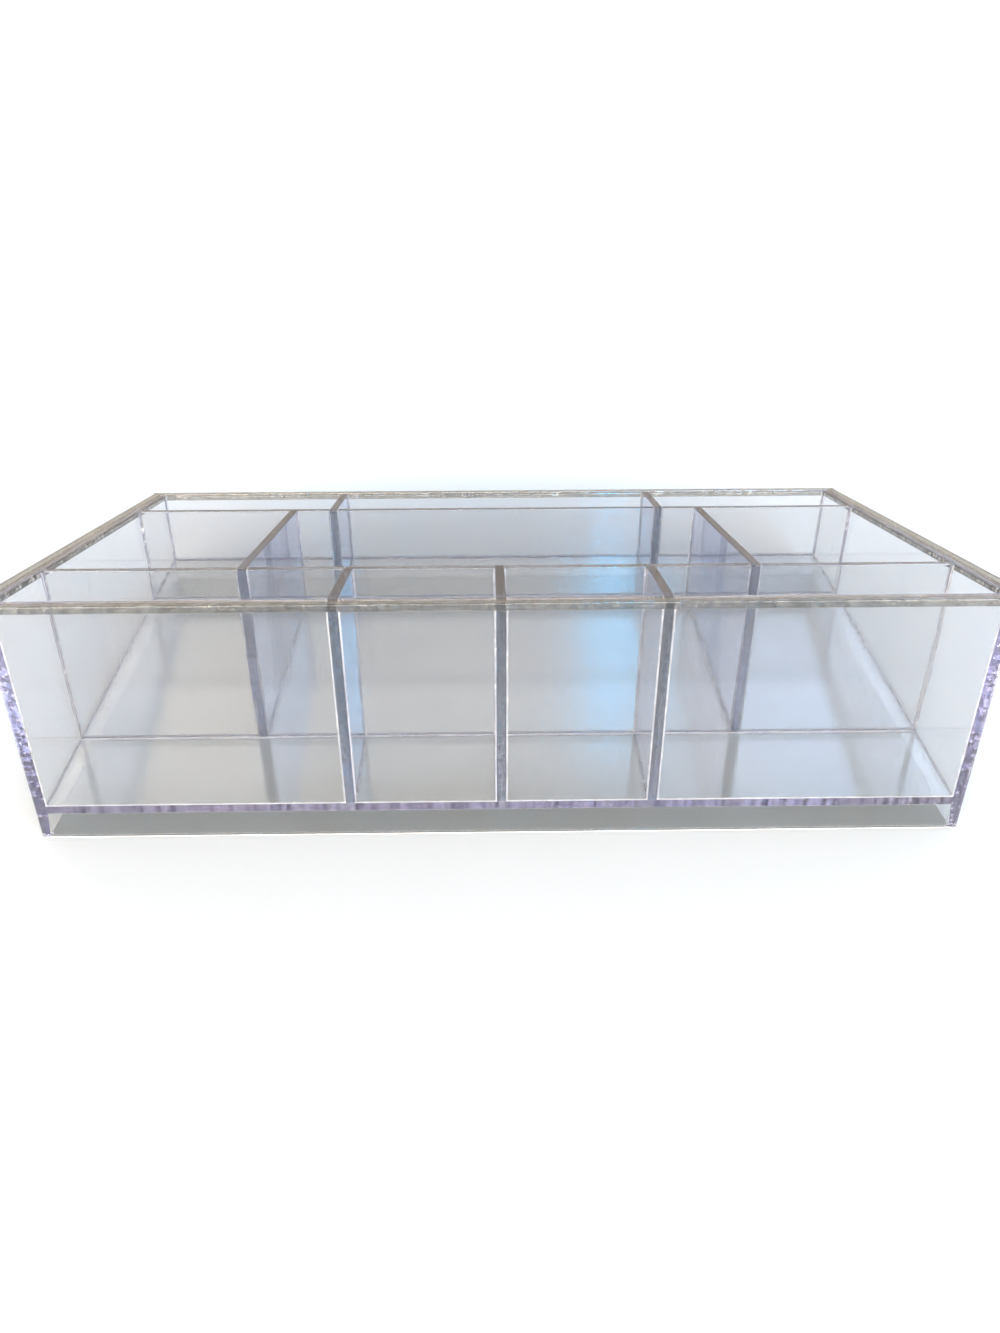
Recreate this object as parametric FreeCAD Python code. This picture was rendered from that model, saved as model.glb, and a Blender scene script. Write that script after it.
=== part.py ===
# Clear divided vanity organizer: a wedge-shaped open tray, tall along one long side and low
# along the other, made of flat acrylic sheet cemented edge to edge.
# Millimetres.  +X runs along the width, +Y from the tall wall to the low wall, +Z is up.
# The origin is at the middle of the outline, on the surface that the tray stands on.
import FreeCAD, Part
import os
from FreeCAD import Vector

# Driving dimensions of the tray, measured over the outside of its walls.
tray_width = 290.0
tray_depth = 178.0
tall_height = 84.5
low_height = 41.0
sheet = 3.0
floor_raise = 8.8

# Below the floor, the walls taper on the inside to this thickness at the ground.
foot_width = 2.0

# Flat strip that thickens the rim, cemented round the outside of the walls.
strip_width = 3.0
strip_height = 2.6

# Clear room between the panels that divide the tray.
tall_row_depth = 35.2
middle_row_depth = 95.5
tall_row_centre_bay = 44.2
middle_row_centre_bay = 158.0
low_row_centre_bay = 127.0

# Rounds left on the sheet's edges by flame polishing.
edge_round = 0.4
foot_round = 0.8
rim_inner_round = 1.0

# How close a corner has to lie to a plane to count as being in it.
snap = 0.001

# Places that the panels share, worked out from the sizes above.
x_outer = tray_width / 2
x_inner = x_outer - sheet
x_foot = x_outer - foot_width
y_tall_outer = -tray_depth / 2
y_tall_inner = y_tall_outer + sheet
y_low_outer = tray_depth / 2
y_low_inner = y_low_outer - sheet
floor_top = floor_raise + sheet
y_tall_row_end = y_tall_inner + tall_row_depth
y_middle_row_start = y_tall_row_end + sheet
y_middle_row_end = y_middle_row_start + middle_row_depth
y_low_row_start = y_middle_row_end + sheet


def rim_height(y):
    """Height of the sloping plane that every top edge lies in, at depth y."""
    fall = (tall_height - low_height) / tray_depth
    return tall_height - fall * (y - y_tall_outer)


def prism(corners, run):
    """A closed outline through the corners, extruded by the run."""
    return Part.Face(Part.makePolygon(corners + corners[:1])).extrude(run)


def extruded(points, x_start, x_end):
    """A closed outline of (y, z) points at x_start, extruded along X to x_end."""
    return prism([Vector(x_start, y, z) for y, z in points], Vector(x_end - x_start, 0, 0))


def panel(x_start, x_end, y_start, y_end, z_base):
    """A sheet panel that stands at z_base, with its top cut along the rim plane."""
    return extruded([(y_start, z_base), (y_end, z_base),
                     (y_end, rim_height(y_end)), (y_start, rim_height(y_start))], x_start, x_end)


def rim_strip(x_start, x_end, y_start, y_end):
    """A length of rim strip, flush with the rim plane and of even height below it."""
    return extruded([(y_start, rim_height(y_start) - strip_height),
                     (y_end, rim_height(y_end) - strip_height),
                     (y_end, rim_height(y_end)), (y_start, rim_height(y_start))], x_start, x_end)


def polished(solid, radius, chosen):
    """The solid with a round on each edge whose middle point passes the test."""
    edges = [edge for edge in solid.Edges if chosen(edge.CenterOfMass)]
    return solid.makeFillet(radius, edges)


def at(value, place):
    return abs(value - place) < snap


def on_rim(point):
    return at(point.z, rim_height(point.y))


def on_ground(point):
    return at(point.z, 0)


# Outer walls

def end_wall(y_outer, y_inner, inward):
    """The tall or the low wall: it runs the whole width and covers the side walls' ends."""
    wall = panel(-x_outer, x_outer, min(y_outer, y_inner), max(y_outer, y_inner), 0)
    y_foot = y_outer + inward * foot_width
    wall = wall.cut(extruded([(y_inner, 0), (y_inner, floor_raise), (y_foot, 0)], -x_inner, x_inner))
    wall = polished(wall, rim_inner_round, lambda p: on_rim(p) and at(p.y, y_inner))
    wall = polished(wall, edge_round, lambda p: on_ground(p) and at(p.y, y_foot))
    return polished(wall, foot_round, lambda p: not on_rim(p) and
                    (at(p.y, y_outer) or on_ground(p) and at(abs(p.x), x_outer)))


def side_wall(side):
    """A side wall between the end walls, on the left (-1) or the right (+1)."""
    x_faces = sorted([side * x_inner, side * x_outer])
    wall = panel(x_faces[0], x_faces[1], y_tall_inner, y_low_inner, 0)
    taper = [Vector(side * x, y_tall_inner, z) for x, z in
             ((x_inner, 0), (x_inner, floor_raise), (x_foot, 0))]
    wall = wall.cut(prism(taper, Vector(0, y_low_inner - y_tall_inner, 0)))
    wall = polished(wall, rim_inner_round, lambda p: on_rim(p) and at(p.x, side * x_inner))
    wall = polished(wall, edge_round, lambda p: on_ground(p) and at(p.x, side * x_foot))
    return polished(wall, foot_round, lambda p: on_ground(p) and at(p.x, side * x_outer))


# Floor

def floor_panel():
    """The raised floor, let in between the four walls."""
    corner = Vector(-x_inner, y_tall_inner, floor_raise)
    return Part.makeBox(2 * x_inner, y_low_inner - y_tall_inner, sheet, corner)


# Panels that divide the tray

def partition(y_start):
    """A full-width partition on the floor, with its two long top edges polished."""
    board = panel(-x_inner, x_inner, y_start, y_start + sheet, floor_top)
    return polished(board, edge_round, lambda p: on_rim(p) and at(p.x, 0))


def divider(x_middle, y_start, y_end):
    """A divider that runs from one cross panel to the next, centred on x_middle."""
    board = panel(x_middle - sheet / 2, x_middle + sheet / 2, y_start, y_end, floor_top)
    return polished(board, edge_round, lambda p: on_rim(p) and not at(p.x, x_middle))


# Rim strips

def end_strip(y_inner, outward):
    """The strip on the tall (-1) or low (+1) wall: it covers the side strips' ends."""
    y_outer = y_inner + outward * strip_width
    x_end = x_outer + strip_width
    strip = rim_strip(-x_end, x_end, min(y_inner, y_outer), max(y_inner, y_outer))
    return polished(strip, edge_round, lambda p: at(p.y, y_outer))


def side_strip(side):
    """The strip along a side wall, between the two end strips."""
    x_strip = x_outer + strip_width
    x_faces = sorted([side * x_outer, side * x_strip])
    strip = rim_strip(x_faces[0], x_faces[1], y_tall_outer, y_low_outer)
    return polished(strip, edge_round, lambda p: at(p.x, side * x_strip) and at(p.y, 0))


pieces = {
    "floor_panel": floor_panel(),
    "tall_wall": end_wall(y_tall_outer, y_tall_inner, 1),
    "low_wall": end_wall(y_low_outer, y_low_inner, -1),
    "left_wall": side_wall(-1),
    "right_wall": side_wall(1),
    "tall_partition": partition(y_tall_row_end),
    "low_partition": partition(y_middle_row_end),
    "tall_rim_strip": end_strip(y_tall_outer, -1),
    "low_rim_strip": end_strip(y_low_outer, 1),
    "left_rim_strip": side_strip(-1),
    "right_rim_strip": side_strip(1),
}

tall_row_step = tall_row_centre_bay + sheet
for name, place in {"left": -tall_row_step, "centre": 0, "right": tall_row_step}.items():
    pieces["tall_row_divider_" + name] = divider(place, y_tall_inner, y_tall_row_end)

middle_row_place = (middle_row_centre_bay + sheet) / 2
low_row_place = (low_row_centre_bay + sheet) / 2
for name, side in {"left": -1, "right": 1}.items():
    pieces["middle_row_divider_" + name] = divider(side * middle_row_place, y_middle_row_start,
                                                   y_middle_row_end)
    pieces["low_row_divider_" + name] = divider(side * low_row_place, y_low_row_start, y_low_inner)

os.makedirs("parts", exist_ok=True)
for name, solid in pieces.items():
    solid.exportStep("parts/" + name + ".step")
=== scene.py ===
# Clear divided vanity organizer: flat acrylic sheet, flame polished and cemented edge to edge.
# Lengths are in millimetres until add_piece puts them into a mesh in metres.
import math

import bpy
import numpy as np
from mathutils import Matrix


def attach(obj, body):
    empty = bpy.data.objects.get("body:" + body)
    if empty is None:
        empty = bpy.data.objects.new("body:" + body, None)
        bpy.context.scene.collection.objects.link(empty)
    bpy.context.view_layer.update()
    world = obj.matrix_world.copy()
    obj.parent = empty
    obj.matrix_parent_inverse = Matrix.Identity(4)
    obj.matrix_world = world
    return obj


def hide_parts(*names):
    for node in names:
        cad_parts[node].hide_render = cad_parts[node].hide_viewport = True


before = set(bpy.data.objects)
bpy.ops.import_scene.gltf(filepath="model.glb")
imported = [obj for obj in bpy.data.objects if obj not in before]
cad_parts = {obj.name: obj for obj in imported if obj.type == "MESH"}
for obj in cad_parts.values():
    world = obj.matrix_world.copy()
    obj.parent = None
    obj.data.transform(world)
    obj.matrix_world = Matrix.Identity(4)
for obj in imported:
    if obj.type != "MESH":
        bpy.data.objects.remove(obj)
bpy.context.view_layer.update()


# Floor panel
# The raised bottom of the tray: one rectangle of 3 mm clear sheet, let in between the four walls
# and cemented to them all round.
metres = 0.001
sheet = 3.0
x_inner, x_outer = 142.0, 145.0
y_tall_outer, y_tall_inner, y_low_inner, y_low_outer = -89.0, -86.0, 86.0, 89.0
floor_under, floor_top = 8.8, 11.8
# Cemented neighbours reach into each other by the bond, so that light crosses a joint as through one body. An edge
# that isn't polished is only broken, by a round of the size of the arris.
bond, arris = 0.05, 0.06


def linear(hex_colour, alpha=1.0):
    """An sRGB hex colour as linear RGBA: each channel by the standard sRGB curve."""
    s = np.array([int(hex_colour[i:i + 2], 16) for i in (1, 3, 5)]) / 255
    return (*np.where(s <= 0.04045, s / 12.92, ((s + 0.055) / 1.055) ** 2.4), alpha)


def add_node(tree, kind, settings=None, **links):
    """Adds a node, sets its properties or input values, and links sockets to its inputs by name, or by number where
    the link is called by an underscore and a number."""
    made = tree.nodes.new(kind)
    for name, value in (settings or {}).items():
        if isinstance(name, int) or name in made.inputs:
            made.inputs[name].default_value = value
        else:
            setattr(made, name, value)
    for name, socket in links.items():
        key = int(name[1:]) if name[0] == "_" else name.replace("_", " ")
        tree.links.new(socket, made.inputs[key])
    return made


def rounded_outline(corners, radii, steps=5, support=0.05):
    """Closed outline whose corners are arcs tangent to both sides. With half the corner's angle h, an arc of
    radius r starts r / tan(h) from the corner and has its centre r / sin(h) along the bisector.
    A support point on each side of the arc keeps the flat sides flat when shaded smooth."""
    c, r = np.array(corners, float), np.array(radii, float)[:, None]
    a, b = np.roll(c, 1, 0) - c, np.roll(c, -1, 0) - c
    a, b = a / np.linalg.norm(a, axis=1)[:, None], b / np.linalg.norm(b, axis=1)[:, None]
    half = np.arccos((a * b).sum(1))[:, None] / 2
    setback = r / np.tan(half)
    bisector = (a + b) / np.linalg.norm(a + b, axis=1)[:, None]
    centre = c + bisector * r / np.sin(half)
    first, last, turn = c + a * setback - centre, c + b * setback - centre, math.pi - 2 * half
    t = np.linspace(0, 1, steps + 1)[None, :, None]
    turn = turn[:, None]
    arc = (np.sin((1 - t) * turn) * first[:, None] + np.sin(t * turn) * last[:, None]) / np.sin(turn)
    before, after = c + a * (setback + support), c + b * (setback + support)
    blocks = np.concatenate([before[:, None], centre[:, None] + arc, after[:, None]], 1)
    return blocks.reshape(-1, 2), blocks.shape[1]


def inset_moves(corners, side_shares, block):
    """How each outline point moves when side i shifts inwards by its share: a corner goes to where its two
    shifted sides cross, so its move m solves m . n = share for both sides' inward normals n."""
    c, share = np.array(corners, float), np.array(side_shares, float)
    along = np.roll(c, -1, 0) - c
    normal = np.stack([-along[:, 1], along[:, 0]], 1) / np.linalg.norm(along, axis=1)[:, None]
    normal *= np.sign(np.sum(c[:, 0] * np.roll(c, -1, 0)[:, 1] - np.roll(c, -1, 0)[:, 0] * c[:, 1]))
    sides = np.stack([np.roll(normal, 1, 0), normal], 1)
    shares = np.stack([np.roll(share, 1), share], 1)[:, :, None]
    return np.repeat(np.linalg.solve(sides, shares)[:, :, 0], block, 0)


def end_stations(start, end, radius, steps=4, support=0.05):
    """Places along a straight path and the inset at each: a quarter round at both ends, where the inset at
    angle p is r (1 - cos p) and the place r (1 - sin p) short of the end, and support rings for flat shading."""
    p = np.linspace(0, math.pi / 2, steps + 1)
    back = np.concatenate([[radius + support], radius * (1 - np.sin(p)), [0]])
    inset = np.concatenate([[0], radius * (1 - np.cos(p)), [radius + support]])
    place = np.concatenate([(start + back)[::-1], end - back])
    return place, np.concatenate([inset[::-1], inset])


def carried(section, places, weights, moves, along_y=False):
    """A section carried along X or Y: ring k is the section plus the sum of weights[k, m] times moves[m].
    A point in the middle of each end closes it. Returns points, side quads as a grid, and end triangles."""
    rings = section[None] + np.einsum("km,mnc->knc", weights, moves)
    count, n = rings.shape[:2]
    points = np.concatenate([np.broadcast_to(places[:, None, None], (count, n, 1)), rings], 2)
    poles = points[[0, -1]].mean(1)
    points = np.concatenate([points.reshape(-1, 3), poles])
    if along_y:
        points = points[:, [1, 0, 2]]
    grid = np.arange(count * n).reshape(count, n)
    a, b = grid[:-1], np.roll(grid, -1, 1)[:-1]
    quads = np.stack([a, b, np.roll(grid, -1, 1)[1:], grid[1:]], 2)
    fan = [np.stack([np.roll(grid[e], -s), np.roll(grid[e], s - 1), np.full(n, count * n + i)], 1)
           for i, (e, s) in enumerate(((0, 1), (-1, 0)))]
    return points, quads, fan


def faces_out(points, faces):
    """The faces of a closed shell, turned over if the volume that they enclose comes out negative: the sum over
    their triangles of a . (b x c)."""
    fans = points[[(f[0], f[i], f[i + 1]) for f in faces for i in range(1, len(f) - 1)]]
    volume = np.einsum("ij,ij->i", fans[:, 0], np.cross(fans[:, 1], fans[:, 2])).sum()
    return faces if volume > 0 else [f[::-1] for f in faces]


def add_piece(name, points, faces, material, cemented, rubbed, slot, *nodes):
    """Makes a mesh from points in millimetres, marks its cemented and rubbed faces, and hands it to the frame: it
    rides on the root and stands for the CAD nodes."""
    mesh = bpy.data.meshes.new(name)
    mesh.from_pydata((points * metres).tolist(), [], faces)
    mesh.materials.append(material)
    for finish, share in (("cemented", cemented), ("rubbed", rubbed)):
        mesh.attributes.new(finish, "FLOAT", "FACE").data.foreach_set("value", np.asarray(share, np.float32))
    mesh.polygons.foreach_set("use_smooth", np.ones(len(faces), bool))
    mesh.update()
    piece = bpy.data.objects.new(name, mesh)
    bpy.context.scene.collection.objects.link(piece)
    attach(piece, "root")
    if nodes:
        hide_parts(*nodes)
    return piece


def add_panel(node, parts, block, material, cemented_sides, cemented_ends, slot, rubbed_corners=()):
    """Adds a carried panel, with the sides and ends that are cemented to a neighbour marked, and the corner rounds
    that are rubbed dull."""
    points, quads, fans = parts
    rings, n = quads.shape[:2]
    side, corner = np.zeros(n), np.zeros(n)
    side[[i * block + block - 1 for i in cemented_sides]] = 1
    for i in rubbed_corners:
        corner[i * block:(i + 1) * block - 1] = 1
    faces = quads.reshape(-1, 4).tolist() + fans[0].tolist() + fans[1].tolist()
    cemented = np.concatenate([np.tile(side, rings), np.full(2 * n, float(cemented_ends))])
    rubbed = np.concatenate([np.tile(corner, rings), np.zeros(2 * n)])
    return add_piece(node + "_acrylic", points, faces_out(points, faces), material, cemented, rubbed, slot, node)


def new_material(name):
    """An empty material made of nodes, and its tree."""
    material = bpy.data.materials.new(name)
    material.use_nodes = True
    material.node_tree.nodes.clear()
    return material, material.node_tree


def finish_acrylic(tree, surface, shade, tint, density):
    """Closes a clear material: lamps and soft light pass straight through it and lose its shade, and the body
    takes out a little colour for each millimetre that light travels inside it."""
    path = add_node(tree, "ShaderNodeLightPath").outputs
    clear = add_node(tree, "ShaderNodeBsdfTransparent", {"Color": linear(shade)})
    for ray in ("Is Diffuse Ray", "Is Shadow Ray"):
        surface = add_node(tree, "ShaderNodeMixShader", None, _0=path[ray], _1=surface.outputs[0],
                           _2=clear.outputs[0])
    inside = add_node(tree, "ShaderNodeVolumeAbsorption", {"Color": linear(tint), "Density": density})
    add_node(tree, "ShaderNodeOutputMaterial", None, Surface=surface.outputs[0], Volume=inside.outputs[0])


# The scale of an upright pattern, which is drawn out along Z.
upright = (1, 1, 0.03)


def cast_acrylic(name, body, shade, joint_colours, haze=0.0, worn=0.0, dull=0.0, tint="#6500BF", density=2.0,
                 run=upright, score=0.05, ripple=0.9):
    """Polished acrylic sheet: clear through the sheet, and tinted along it. Hairlines run up each face, or along the
    axis on which run is short, and score is how deep they look. Cemented faces are wavy by ripple, go from one joint
    colour to the other in upright streaks, and hold white bubbles. On the outside, haze is an even milky veil, worn
    adds scuffs and specks to it, and dull is the roughness. Rubbed faces are frosted."""
    # Sizes of the patterns in millimetres. Real hairlines are finer, and are drawn this coarse so that they show.
    hairline_gap, bubble_gap, streak_width, scuff_size, speck_gap = 1.1, 2.4, 2.0, 18.0, 3.3
    hairline_depth, bubble_depth = 0.2, 0.8
    acrylic_ior, polish, hairline_rough, joint_rough = 1.49, 0.012, 0.04, 0.05
    bubble_white, rubbed_white = 0.55, 0.6
    material, tree = new_material(name)
    place = add_node(tree, "ShaderNodeTexCoord").outputs["Object"]
    joint = add_node(tree, "ShaderNodeAttribute", {"attribute_name": "cemented"}).outputs["Fac"]
    rubbed = add_node(tree, "ShaderNodeAttribute", {"attribute_name": "rubbed"}).outputs["Fac"]
    standing = add_node(tree, "ShaderNodeMapping", {"Scale": upright}, Vector=place)
    lengthwise = add_node(tree, "ShaderNodeMapping", {"Scale": run}, Vector=place)
    hairline = add_node(tree, "ShaderNodeTexNoise", {"Scale": 1 / (hairline_gap * metres), "Detail": 2.0},
                        Vector=lengthwise.outputs[0])
    hairline = add_node(tree, "ShaderNodeMapRange", {"From Min": 0.58, "From Max": 0.78}, Value=hairline.outputs["Fac"])
    bubbles = add_node(tree, "ShaderNodeTexVoronoi", {"Scale": 1 / (bubble_gap * metres)}, Vector=place)
    wave = add_node(tree, "ShaderNodeMath", {"operation": "MULTIPLY", 1: ripple}, _0=joint)
    wavy = add_node(tree, "ShaderNodeBump", {"Distance": bubble_depth * metres}, Strength=wave.outputs[0],
                    Height=bubbles.outputs["Distance"])
    scratched = add_node(tree, "ShaderNodeBump", {"Strength": score, "Distance": hairline_depth * metres},
                         Height=hairline.outputs[0], Normal=wavy.outputs[0])
    within = add_node(tree, "ShaderNodeNewGeometry").outputs["Backfacing"]
    rough = add_node(tree, "ShaderNodeMath", {"operation": "MULTIPLY_ADD", 1: -dull, 2: polish + dull}, _0=within)
    rough = add_node(tree, "ShaderNodeMath", {"operation": "MULTIPLY_ADD", 1: joint_rough}, _0=joint,
                     _2=rough.outputs[0])
    rough = add_node(tree, "ShaderNodeMath", {"operation": "MULTIPLY_ADD", 1: hairline_rough}, _0=hairline.outputs[0],
                     _2=rough.outputs[0])
    scuff = add_node(tree, "ShaderNodeTexNoise", {"Scale": 1 / (scuff_size * metres), "Detail": 6.0,
                                                  "Roughness": 0.65}, Vector=place)
    scuff = add_node(tree, "ShaderNodeMapRange", {"From Min": 0.42, "From Max": 0.72, "To Min": haze,
                                                  "To Max": haze + worn}, Value=scuff.outputs["Fac"])
    speck = add_node(tree, "ShaderNodeTexVoronoi", {"Scale": 1 / (speck_gap * metres)}, Vector=place)
    speck = add_node(tree, "ShaderNodeMapRange", {"From Min": 0.12, "From Max": 0.06, "To Max": 4 * worn},
                     Value=speck.outputs["Distance"])
    spot = add_node(tree, "ShaderNodeMapRange", {"From Min": 0.3, "From Max": 0.18, "To Max": bubble_white * ripple},
                    Value=bubbles.outputs["Distance"])
    spot = add_node(tree, "ShaderNodeMath", {"operation": "MULTIPLY"}, _0=spot.outputs[0], _1=joint)
    frost = add_node(tree, "ShaderNodeMath", {"operation": "MULTIPLY", 1: rubbed_white}, _0=rubbed)
    veil = scuff
    for more in (speck, spot, frost):
        veil = add_node(tree, "ShaderNodeMath", {"operation": "MAXIMUM"}, _0=veil.outputs[0], _1=more.outputs[0])
    clear = add_node(tree, "ShaderNodeMath", {"operation": "SUBTRACT", 0: 1.0}, _1=veil.outputs[0])
    clear = add_node(tree, "ShaderNodeMath", {"operation": "MAXIMUM"}, _0=clear.outputs[0], _1=within)
    streak = add_node(tree, "ShaderNodeTexNoise", {"Scale": 1 / (streak_width * metres), "Detail": 3.0},
                      Vector=standing.outputs[0])
    streak = add_node(tree, "ShaderNodeMapRange", {"From Min": 0.38, "From Max": 0.62}, Value=streak.outputs["Fac"])
    streaked = add_node(tree, "ShaderNodeMix", {"data_type": "RGBA", 6: linear(joint_colours[0]),
                                                7: linear(joint_colours[1])}, _0=streak.outputs[0])
    colour = add_node(tree, "ShaderNodeMix", {"data_type": "RGBA", 6: linear(body)}, _0=joint, _7=streaked.outputs[2])
    shader = add_node(tree, "ShaderNodeBsdfPrincipled", {"IOR": acrylic_ior}, Base_Color=colour.outputs[2],
                      Transmission_Weight=clear.outputs[0], Roughness=rough.outputs[0], Normal=scratched.outputs[0])
    finish_acrylic(tree, shader, shade, tint, density)
    return material


# The walls are clear with pale lavender joints. The floor is the same sheet, dulled by use, so it looks milky and
# shows soft reflections.
wall_acrylic = cast_acrylic("polished_cast_acrylic", "#F1F1F1", "#BEBFBE", ("#C6BFE8", "#EFECFC"), density=1.2,
                            ripple=0.6)
floor_acrylic = cast_acrylic("scuffed_cast_acrylic", "#F1F1F1", "#E8E8E8", ("#4C4658", "#B2ACC6"), 0.26, 0.02, 0.14,
                             run=(1, 0.05, 1), score=0.01, ripple=0.6)

y_floor = y_low_inner + bond
corners = [(-y_floor, floor_under), (y_floor, floor_under), (y_floor, floor_top), (-y_floor, floor_top)]
section, block = rounded_outline(corners, [arris] * 4)
places, inset = end_stations(-x_inner - bond, x_inner + bond, arris)
moves = inset_moves(corners, [1] * 4, block)[None]
add_panel("floor_panel", carried(section, places, inset[:, None], moves), block, floor_acrylic,
          (1, 3), True, "clear_sheet")


# Tall and low walls
# Full-width walls that cover the side walls' ends. Their top edges lie in the sloping plane of the rim, and
# below the floor they thin towards the ground on the inside.
tall_height, low_height = 84.5, 41.0
foot, foot_round, foot_inner_round, rim_inner_round = 2.0, 0.8, 0.4, 1.0


def rim_height(y):
    """Height of the sloping plane of the rim at depth y."""
    return tall_height - (tall_height - low_height) * (y - y_tall_outer) / (y_low_outer - y_tall_outer)


for node, y_out, y_in in (("tall_wall", y_tall_outer, y_tall_inner), ("low_wall", y_low_outer, y_low_inner)):
    inward = math.copysign(1, y_in - y_out)
    corners = [(y_out, 0), (y_out + inward * foot, 0), (y_in, floor_under), (y_in, rim_height(y_in)),
               (y_out, rim_height(y_out))]
    section, block = rounded_outline(corners, [foot_round, foot_inner_round, arris, rim_inner_round, arris])
    places, inset = end_stations(-x_outer, x_outer, foot_round)
    step = x_inner + np.array([2, 1, 0, -1]) * bond
    middle = len(places) // 2
    places = np.insert(places, middle, np.concatenate([-step, step[::-1]]))
    inset = np.insert(inset, middle, np.zeros(2 * len(step)))
    full_foot = (np.abs(places) > x_inner).astype(float)
    foot_fill = np.zeros_like(section)
    foot_fill[block:2 * block, 0] = inward * (sheet - foot)
    moves = np.stack([inset_moves(corners, [1, 0, 0, 0, 1], block), foot_fill])
    add_panel(node, carried(section, places, np.stack([inset, full_foot], 1), moves), block, wall_acrylic,
              (), False, "clear_sheet", (0,))


# Side walls
# Wedge-shaped walls between the tall and the low wall, with their ends cemented to them.
for node, side in (("left_wall", -1), ("right_wall", 1)):
    top = rim_height(0)
    corners = [(side * (x_outer - foot), 0), (side * x_outer, 0), (side * x_outer, top), (side * x_inner, top),
               (side * x_inner, floor_under)]
    section, block = rounded_outline(corners, [foot_inner_round, foot_round, arris, rim_inner_round, arris])
    places, inset = end_stations(y_tall_inner - bond, y_low_inner + bond, arris)
    rise = np.zeros_like(section)
    rise[2 * block:4 * block, 1] = 1
    moves = np.stack([inset_moves(corners, [1, 1, 1, 1, 1], block), rise])
    weights = np.stack([inset, rim_height(places) - top], 1)
    add_panel(node, carried(section, places, weights, moves, along_y=True), block, wall_acrylic,
              (), True, "clear_sheet", (1,))


# Partitions
# Full-width panels that stand on the floor between the rows, cemented along the bottom and at both ends.
edge_round = 0.4
tall_row_end, middle_row_end = -50.8, 47.7
base = floor_top - bond
for node, y_start in (("tall_partition", tall_row_end), ("low_partition", middle_row_end)):
    y_end = y_start + sheet
    corners = [(y_start, base), (y_end, base), (y_end, rim_height(y_end)), (y_start, rim_height(y_start))]
    section, block = rounded_outline(corners, [arris, arris, edge_round, edge_round])
    places, inset = end_stations(-x_inner - bond, x_inner + bond, arris)
    moves = inset_moves(corners, [1] * 4, block)[None]
    add_panel(node, carried(section, places, inset[:, None], moves), block, wall_acrylic,
              (0,), True, "clear_sheet")


# Dividers
# Short panels that split each row into bays. Their tops follow the slope, and they are cemented along the
# bottom and at both ends.
rows = {
    "tall_row": (y_tall_inner, tall_row_end, {"left": -47.2, "centre": 0.0, "right": 47.2}),
    "middle_row": (tall_row_end + sheet, middle_row_end, {"left": -80.5, "right": 80.5}),
    "low_row": (middle_row_end + sheet, y_low_inner, {"left": -65.0, "right": 65.0}),
}
# The dividers' lavender colour is a painted sheen: the tint that the sheet shows at a low angle, laid on at every
# angle. Their smooth cemented ends look dark.
divider_acrylic = cast_acrylic("divider_acrylic_painted_lavender_sheen", "#E8EAF9", "#BEBFBE", ("#8E939C", "#C4C8D0"), ripple=0.25)
for row, (y_start, y_end, dividers) in rows.items():
    for word, x in dividers.items():
        top = rim_height(0)
        corners = [(x - sheet / 2, base), (x + sheet / 2, base), (x + sheet / 2, top), (x - sheet / 2, top)]
        section, block = rounded_outline(corners, [arris, arris, edge_round, edge_round])
        places, inset = end_stations(y_start - bond, y_end + bond, arris)
        rise = np.zeros_like(section)
        rise[2 * block:, 1] = 1
        moves = np.stack([inset_moves(corners, [1] * 4, block), rise])
        weights = np.stack([inset, rim_height(places) - top], 1)
        add_panel(f"{row}_divider_{word}", carried(section, places, weights, moves, along_y=True), block,
                  divider_acrylic, (0,), True, "clear_sheet")


# Cement beads
# Solvent cement that has run along the foot of each bay and up its four corners, and has set as clear hollow
# beads with small bubbles in them.
foot_bead, corner_bead, bead_top_gap = 0.5, 0.5, 0.6


def bead_profile(radius, steps=6):
    """Outline of a hollow bead in a square corner at (0, 0): the corner, then a quarter circle of the radius about
    (radius, radius), which touches both sides. It reaches into both sides by the bond."""
    p = np.linspace(0, math.pi / 2, steps + 1)
    arc = radius * np.stack([1 - np.sin(p), 1 - np.cos(p)], 1)
    return np.concatenate([[[-bond, -bond], [radius, -bond]], arc, [[-bond, radius]]])


def ring_quads(count, n, closed):
    """Quads between neighbouring rings of n points, and between the last ring and the first where closed."""
    grid = np.arange(count * n).reshape(count, n)
    after = np.roll(grid, -1, 0) if closed else grid[1:]
    before = grid if closed else grid[:-1]
    return np.stack([before, np.roll(before, -1, 1), np.roll(after, -1, 1), after], 2).reshape(-1, 4).tolist()


def foot_loop(corners):
    """A bead carried round the foot of a bay. Each corner has a ring on the side that it comes from, a mitre where
    both sides' distances are the profile's own, and a ring on the side that it goes to."""
    u, v = bead_profile(foot_bead).T
    away = np.full_like(u, 2 * foot_bead)
    rings = []
    for i, (x, y, sx, sy) in enumerate(corners):
        along = [(away, u), (u, u), (u, away)]
        for a, b in (along if i % 2 else along[::-1]):
            rings.append(np.stack([x + sx * a, y + sy * b, floor_top + v], 1))
    points = np.concatenate(rings)
    return points, faces_out(points, ring_quads(len(rings), len(u), True))


def corner_post(x, y, sx, sy):
    """A bead carried up a corner of a bay, from the floor to just below the sloping rim, closed by a fan at both
    ends from the corner's own point."""
    profile = bead_profile(corner_bead)
    level = np.array([0, 0.002, 0.998, 1])[:, None]
    flat = np.array([x, y]) + profile * (sx, sy)
    rings, n = len(level), len(flat)
    height = base + level * (rim_height(flat[:, 1]) - bead_top_gap - base)
    points = np.concatenate([np.broadcast_to(flat, (rings, n, 2)), height[:, :, None]], 2).reshape(-1, 3)
    top = (rings - 1) * n
    caps = [(j + 1, j, 0) for j in range(1, n - 1)] + [(top, top + j, top + j + 1) for j in range(1, n - 1)]
    return points, faces_out(points, ring_quads(rings, n, False) + caps)


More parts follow.
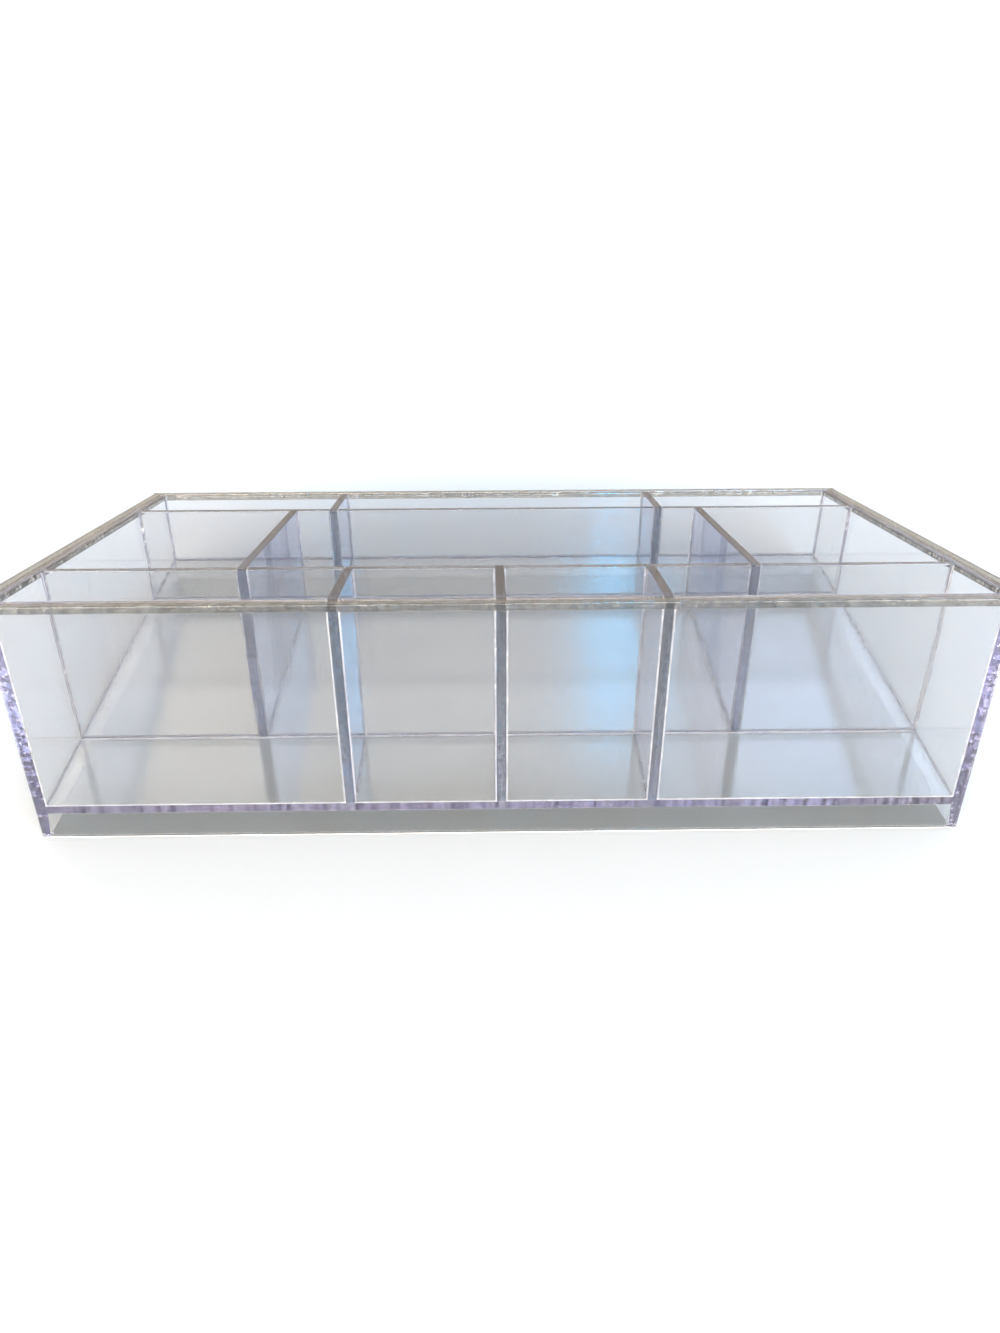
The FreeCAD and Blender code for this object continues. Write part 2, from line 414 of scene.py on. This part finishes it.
# Set cement is clear with milky stretches, which show as thin white lines.
cement = cast_acrylic("solvent_cement", "#FFFFFF", "#FFFFFF", ("#F4F2FC", "#FFFFFF"), 0.3, 0.25, density=0.0)
for row, (y_start, y_end, dividers) in rows.items():
    edges = [-x_inner, *(x + s * sheet / 2 for x in dividers.values() for s in (-1, 1)), x_inner]
    points, faces = np.zeros((0, 3)), []
    for x_start, x_end in zip(edges[::2], edges[1::2]):
        corners = [(x_start, y_start, 1, 1), (x_end, y_start, -1, 1), (x_end, y_end, -1, -1), (x_start, y_end, 1, -1)]
        for shell, shell_faces in [foot_loop(corners)] + [corner_post(*corner) for corner in corners]:
            faces += [[i + len(points) for i in f] for f in shell_faces]
            points = np.concatenate([points, shell])
    add_piece(row + "_cement", points, faces, cement, np.ones(len(faces)), np.zeros(len(faces)), "clear_sheet")


# Rim strips
# Flat strips cemented round the outside of the walls, flush with the rim. The long ones cover the ends of
# the short ones.
strip_width, strip_height = 3.0, 2.6
# The strips are painted faintly smoky, and a long look through them turns brown: a painted reflection of a dim brown
# surround in the rim, laid into their colour.
rim_acrylic = cast_acrylic("rim_strip_painted_brown_reflection", "#C4C3BF", "#D6D4CE", ("#A8A398", "#C4C0B6"), tint="#B8A080",
                           density=20.0)
x_strip = x_outer + strip_width
for node, y_in, outward in (("tall_rim_strip", y_tall_outer, -1), ("low_rim_strip", y_low_outer, 1)):
    y_near, y_far = y_in - outward * bond, y_in + outward * strip_width
    corners = [(y_far, rim_height(y_far) - strip_height), (y_near, rim_height(y_near) - strip_height),
               (y_near, rim_height(y_near)), (y_far, rim_height(y_far))]
    section, block = rounded_outline(corners, [edge_round, arris, arris, edge_round])
    places, inset = end_stations(-x_strip, x_strip, edge_round)
    moves = inset_moves(corners, [0, 0, 0, 1], block)[None]
    add_panel(node, carried(section, places, inset[:, None], moves), block, rim_acrylic,
              (1,), False, "rim_strip")
for node, side in (("left_rim_strip", -1), ("right_rim_strip", 1)):
    top = rim_height(0)
    near, far = side * (x_outer - bond), side * x_strip
    corners = [(near, top - strip_height), (far, top - strip_height), (far, top), (near, top)]
    section, block = rounded_outline(corners, [arris, edge_round, edge_round, arris])
    places, inset = end_stations(y_tall_outer - bond, y_low_outer + bond, arris)
    moves = np.stack([inset_moves(corners, [1] * 4, block), np.tile([0.0, 1.0], (len(section), 1))])
    weights = np.stack([inset, rim_height(places) - top], 1)
    add_panel(node, carried(section, places, weights, moves, along_y=True), block, rim_acrylic,
              (3,), True, "rim_strip")


# Stage, in metres: a pale floor that reaches past the horizon, and a brown card behind the tray, seen only in
# reflections, which draws the polished rim.
half_floor, floor_level = 40.0, -0.0002
flag_half, flag_y, flag_top = 1.2, 0.35, 0.13


def stage_sheet(name, corners, finish, colour):
    """A flat sheet of the stage through four corners, in a plain matt finish."""
    mesh = bpy.data.meshes.new(name)
    mesh.from_pydata(corners, [], [(0, 1, 2, 3)])
    material, tree = new_material(finish)
    shader = add_node(tree, "ShaderNodeBsdfDiffuse", {"Color": linear(colour)})
    add_node(tree, "ShaderNodeOutputMaterial", None, Surface=shader.outputs[0])
    mesh.materials.append(material)
    laid = bpy.data.objects.new(name, mesh)
    bpy.context.scene.collection.objects.link(laid)
    return laid


stage_sheet("stage_floor", [(-half_floor, -half_floor, floor_level), (half_floor, -half_floor, floor_level),
                            (half_floor, half_floor, floor_level), (-half_floor, half_floor, floor_level)],
            "pale_paper", "#F4F4F4")
edge_flag = stage_sheet("edge_flag", [(-flag_half, flag_y, 0), (flag_half, flag_y, 0), (flag_half, flag_y, flag_top),
                                      (-flag_half, flag_y, flag_top)], "brown_felt", "#6C6458")
edge_flag.visible_camera = edge_flag.visible_diffuse = edge_flag.visible_shadow = False
edge_flag.visible_transmission = edge_flag.visible_volume_scatter = False

# Soft light all round, in linear radiance: a white skyline below a dim surround, which is warm on the left and cool
# on the right.
world = bpy.data.worlds.new("soft_studio")
bpy.context.scene.world = world
world.use_nodes = True
tree = world.node_tree
tree.nodes.clear()
way = add_node(tree, "ShaderNodeTexCoord").outputs["Generated"]
axes = add_node(tree, "ShaderNodeSeparateXYZ", None, Vector=way).outputs
across = add_node(tree, "ShaderNodeMapRange", {"interpolation_type": "SMOOTHSTEP", "From Min": -0.05, "From Max": 0.35},
                  Value=axes["X"])
surround = add_node(tree, "ShaderNodeMix", {"data_type": "RGBA", 6: (0.5, 0.46, 0.4, 1), 7: (0.52, 0.6, 0.74, 1)},
                    _0=across.outputs[0])
softbox = add_node(tree, "ShaderNodeMix", {"data_type": "RGBA", 6: (5.0, 4.8, 4.5, 1), 7: (4.6, 5.8, 7.8, 1)},
                   _0=across.outputs[0])
aside = add_node(tree, "ShaderNodeMath", {"operation": "ABSOLUTE"}, _0=axes["X"])
aside = add_node(tree, "ShaderNodeMapRange", {"interpolation_type": "SMOOTHSTEP", "From Min": 0.1, "From Max": 0.26,
                                              "To Min": 0.72, "To Max": 1.0}, Value=aside.outputs[0])
softbox = add_node(tree, "ShaderNodeMix", {"data_type": "RGBA", 6: (0, 0, 0, 1)}, _0=aside.outputs[0],
                   _7=softbox.outputs[2])
skyline = add_node(tree, "ShaderNodeMapRange", {"interpolation_type": "SMOOTHSTEP", "From Min": 0.3, "From Max": 0.12},
                   Value=axes["Z"])
sky = add_node(tree, "ShaderNodeMix", {"data_type": "RGBA", 7: (1, 1, 1, 1)}, _0=skyline.outputs[0],
               _6=surround.outputs[2])
# Zones that are laid over it one after the other. Each limit is an axis, where the zone starts and where it is full.
# They are the softbox behind, which the floor panel mirrors, a cool patch in it, a wide low key in front, and a cool
# window above the key.
zones = (
    (softbox, (("Y", 0.5, 0.7), ("Z", 0.42, 0.5), ("Z", 0.74, 0.64))),
    ((2.8, 6.2, 9.6, 1),
     (("Y", 0.5, 0.7), ("X", 0.07, 0.105), ("X", 0.17, 0.13), ("Z", 0.42, 0.48), ("Z", 0.62, 0.55))),
    ((17.0, 15.6, 13.8, 1), (("Y", -0.35, -0.6), ("Z", -0.1, -0.02), ("Z", 0.4, 0.3))),
    ((6.0, 38.0, 70.0, 1),
     (("Y", -0.5, -0.7), ("X", 0.08, 0.1), ("X", 0.15, 0.13), ("Z", 0.36, 0.4), ("Z", 0.6, 0.56))),
)
for colour, limits in zones:
    inside = None
    for axis, start, full in limits:
        edge = add_node(tree, "ShaderNodeMapRange", {"interpolation_type": "SMOOTHSTEP", "From Min": start,
                                                     "From Max": full}, Value=axes[axis]).outputs[0]
        inside = edge if inside is None else add_node(tree, "ShaderNodeMath", {"operation": "MULTIPLY"},
                                                      _0=inside, _1=edge).outputs[0]
    sky = add_node(tree, "ShaderNodeMix", {"data_type": "RGBA"}, _0=inside, _6=sky.outputs[2])
    if colour is softbox:
        tree.links.new(softbox.outputs[2], sky.inputs[7])
    else:
        sky.inputs[7].default_value = colour
light = add_node(tree, "ShaderNodeBackground", {"Strength": 1.0}, Color=sky.outputs[2])
add_node(tree, "ShaderNodeOutputWorld", None, Surface=light.outputs[0])

# A weak cool lamp on the right.
lamp_place, lamp_tilt = (0.45, -0.05, 0.4), math.radians(45)
lamp = bpy.data.lights.new("cool_fill", "AREA")
lamp.energy, lamp.size, lamp.color = 0.35, 0.4, (0.35, 0.65, 1.0)
cool_fill = bpy.data.objects.new("cool_fill", lamp)
cool_fill.matrix_world = Matrix.Translation(lamp_place) @ Matrix.Rotation(lamp_tilt, 4, "Y")
bpy.context.scene.collection.objects.link(cool_fill)

scene = bpy.context.scene
scene.view_settings.view_transform = "Standard"
# Light crosses many faces on its way through the tray.
bounces = 40
scene.cycles.max_bounces = scene.cycles.transmission_bounces = bounces
scene.cycles.glossy_bounces = scene.cycles.transparent_max_bounces = bounces


# Camera, at the photograph's viewpoint: close, above the tall side and tilted down.
frame_height_px, focal_px = 1333, 1101.3
pitch, yaw, roll = 0.5596, 0.0135, -0.0022
ahead = np.array([math.sin(yaw) * math.cos(pitch), math.cos(yaw) * math.cos(pitch), -math.sin(pitch)])
right = np.cross(ahead, (0, 0, 1))
right /= np.linalg.norm(right)
up = np.cross(right, ahead)
right, up = math.cos(roll) * right + math.sin(roll) * up, math.cos(roll) * up - math.sin(roll) * right
lens = bpy.data.cameras.new("camera")
lens.sensor_width = 36.0
lens.lens = focal_px / frame_height_px * lens.sensor_width
lens.clip_start, lens.clip_end = 0.01, 200.0
camera = bpy.data.objects.new("camera", lens)
camera_place = (-0.00405, -0.35706, 0.23064)
camera.matrix_world = Matrix.Translation(camera_place) @ Matrix(np.stack([right, up, -ahead], 1).tolist()).to_4x4()
scene.collection.objects.link(camera)
scene.camera = camera

bpy.context.view_layer.update()
